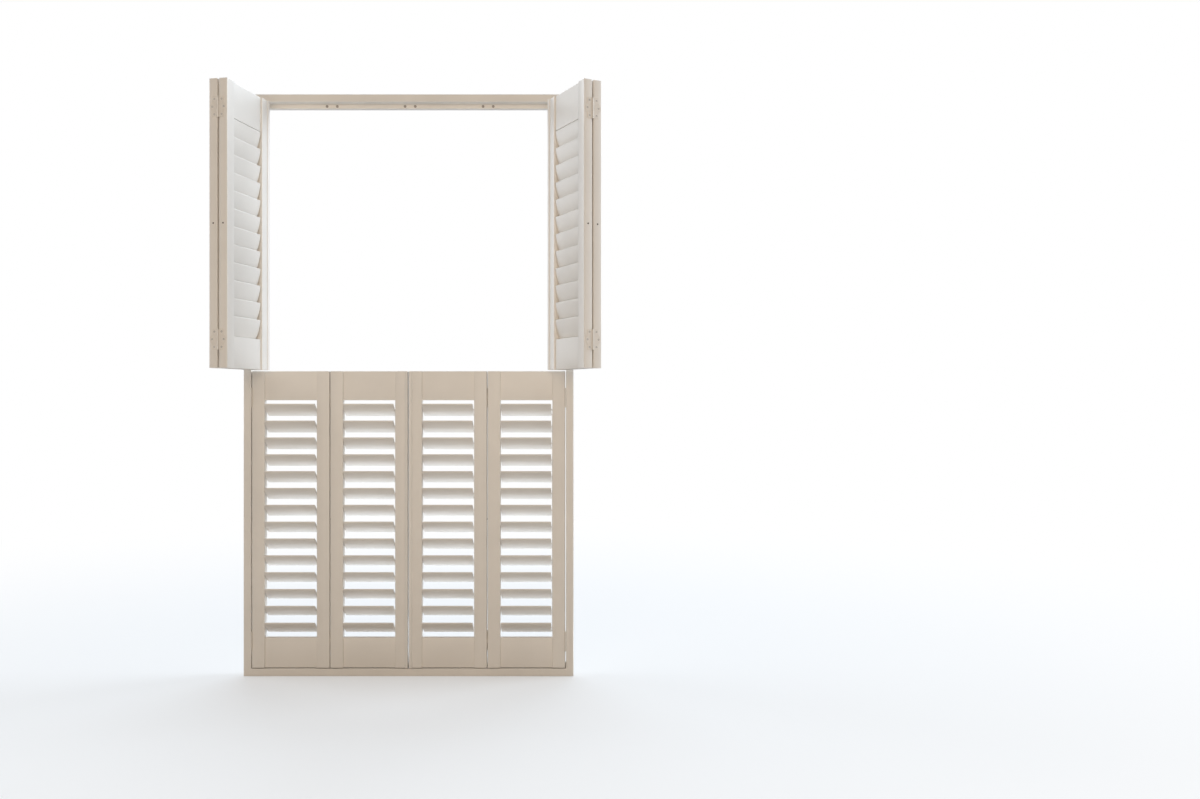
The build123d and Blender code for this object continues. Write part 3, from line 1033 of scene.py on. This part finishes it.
# %% [markdown]
# ## Camera
# The photograph was taken straight on, with the lens level, a little under a metre above the
# foot of the frame and to its right. The four numbers here come from the vanishing lines of
# the open panels and the spacing of the louvres.

# %% Set the camera
PHOTO_WIDTH_PX = 1200
FOCAL_PX = 1024
SENSOR_MM = 36.0
EYE = Vector((0.633, -3.410, 0.915))

camera_data = bpy.data.cameras.new("camera")
camera_data.sensor_width = SENSOR_MM
camera_data.lens = SENSOR_MM * FOCAL_PX / PHOTO_WIDTH_PX
camera = bpy.data.objects.new("camera", camera_data)
camera.location = EYE
camera.rotation_euler = (pi / 2, 0, 0)
bpy.context.scene.collection.objects.link(camera)
bpy.context.scene.camera = camera
print(f"lens {camera_data.lens:.1f} mm")

# %% [markdown]
# ## Floor and light
# The set stands on a pale floor that fades to white away from it. Three broad cool softboxes
# stand in for the daylight behind it: one high up, for the tops of the louvres, and one on
# each side, for the faces of the folded panels. A low one lies behind the foot of the frame
# and lights the louvres from below. A warm one on the room side, dimmer, lights the front.
# All are large, so the louvres shade each other softly, from grey under their front edges to
# almost white at the back. The floor shows paler than it bounces, or it would wash that out.

# %% Floor
FLOOR_REACH = 20.0
FLOOR_LEVEL = -0.0003
FLOOR_COLOUR = (0.86, 0.855, 0.85)
FLOOR_BOUNCE = (0.36, 0.34, 0.32)
FLOOR_ROUGHNESS, FLOOR_SPECULAR = 0.8, 0.1
FADE = {"From Min": 0.3, "From Max": 4.5, "To Min": 0.4}
FULL_WHITE = {"Color": (1, 1, 1, 1), "Strength": 1.0}


def seen_directly(owner):
    """One for camera, mirror and glass rays, and nought for light that bounces about."""
    path = shader_node(owner, "ShaderNodeLightPath")
    total = path.outputs["Is Camera Ray"]
    for kind in ("Is Glossy Ray", "Is Transmission Ray"):
        rays = {0: total, 1: path.outputs[kind]}
        total = shader_node(owner, "ShaderNodeMath", rays, operation="MAXIMUM").outputs[0]
    return total


def floor_finish():
    """A matt floor that fades to white with the distance from the set."""
    material, shader = new_material("pale_floor")
    links = material.node_tree.links
    shader.inputs["Roughness"].default_value = FLOOR_ROUGHNESS
    shader.inputs["Specular IOR Level"].default_value = FLOOR_SPECULAR
    seen = seen_directly(material)
    links.new(blend_colour(material, seen, FLOOR_BOUNCE, FLOOR_COLOUR), shader.inputs["Base Color"])
    where = shader_node(material, "ShaderNodeTexCoord").outputs["Object"]
    away = shader_node(material, "ShaderNodeVectorMath", {0: where}, operation="LENGTH").outputs["Value"]
    fade = {"Value": away, **FADE}
    faded = shader_node(material, "ShaderNodeMapRange", fade, interpolation_type="SMOOTHSTEP")
    share = {0: faded.outputs["Result"], 1: seen}
    shown = shader_node(material, "ShaderNodeMath", share, operation="MULTIPLY").outputs[0]
    glow = shader_node(material, "ShaderNodeEmission", FULL_WHITE).outputs["Emission"]
    mix = {0: shown, 1: shader.outputs["BSDF"], 2: glow}
    mixed = shader_node(material, "ShaderNodeMixShader", mix).outputs["Shader"]
    links.new(mixed, material.node_tree.nodes["Material Output"].inputs["Surface"])
    return material


signs = ((-1, -1), (1, -1), (1, 1), (-1, 1))
floor_mesh = bpy.data.meshes.new("floor")
corners = [(x * FLOOR_REACH, y * FLOOR_REACH, FLOOR_LEVEL) for x, y in signs]
floor_mesh.from_pydata(corners, [], [(0, 1, 2, 3)])
floor_mesh.materials.append(floor_finish())
floor = bpy.data.objects.new("floor", floor_mesh)
bpy.context.scene.collection.objects.link(floor)
print(f"floor {2 * FLOOR_REACH:.0f} m square")

# %% World
AMBIENT_COLOUR = (0.97, 0.98, 1.0, 1)
AMBIENT_STRENGTH = 0.2

world = bpy.data.worlds.new("studio")
world.use_nodes = True
bpy.context.scene.world = world
ambient = world.node_tree.nodes["Background"]
ambient.inputs["Color"].default_value = AMBIENT_COLOUR
ambient.inputs["Strength"].default_value = AMBIENT_STRENGTH
white = shader_node(world, "ShaderNodeBackground", FULL_WHITE)
mix = {0: seen_directly(world), 1: ambient.outputs[0], 2: white.outputs[0]}
backdrop = shader_node(world, "ShaderNodeMixShader", mix)
world_output = world.node_tree.nodes["World Output"]
world.node_tree.links.new(backdrop.outputs[0], world_output.inputs["Surface"])
bpy.context.scene.view_settings.view_transform = "Standard"
print("ambient light:", AMBIENT_STRENGTH)

# %% Lamps, each with its place, aim, size in metres, watts and colour
COOL, WARM = (0.785, 0.89, 1.0), (1.0, 0.83, 0.64)
SOFTBOXES = {
    "sky_softbox": ((0.2, 8.4, 9.6), (0.0, 0.0, 0.8), (12.0, 7.0), 1010, COOL),
    "right_sky_softbox": ((14.4, 3.95, 5.5), (-0.45, -0.15, 1.3), (8.0, 8.0), 2040, COOL),
    "left_sky_softbox": ((-13.5, 3.35, 4.7), (0.5, -0.15, 1.3), (8.0, 8.0), 1090, COOL),
    "sill_softbox": ((0.0, 0.52, 0.015), (0.0, 0.52, 1.0), (1.3, 0.68), 4.8, COOL),
    "room_softbox": ((0.3, -5.4, 1.7), (0.0, 0.0, 0.9), (4.5, 3.5), 121, WARM),
}


def softbox(name, place, aim, size, watts, colour):
    """A large rectangular lamp that the camera doesn't see."""
    data = bpy.data.lights.new(name, "AREA")
    data.shape = "RECTANGLE"
    data.size, data.size_y = size
    data.energy = watts
    data.color = colour
    lamp = bpy.data.objects.new(name, data)
    lamp.location = place
    lamp.rotation_euler = (Vector(aim) - Vector(place)).to_track_quat("-Z", "Y").to_euler()
    lamp.visible_camera = False
    bpy.context.scene.collection.objects.link(lamp)


for name, settings in SOFTBOXES.items():
    softbox(name, *settings)
print("lamps:", len(SOFTBOXES))
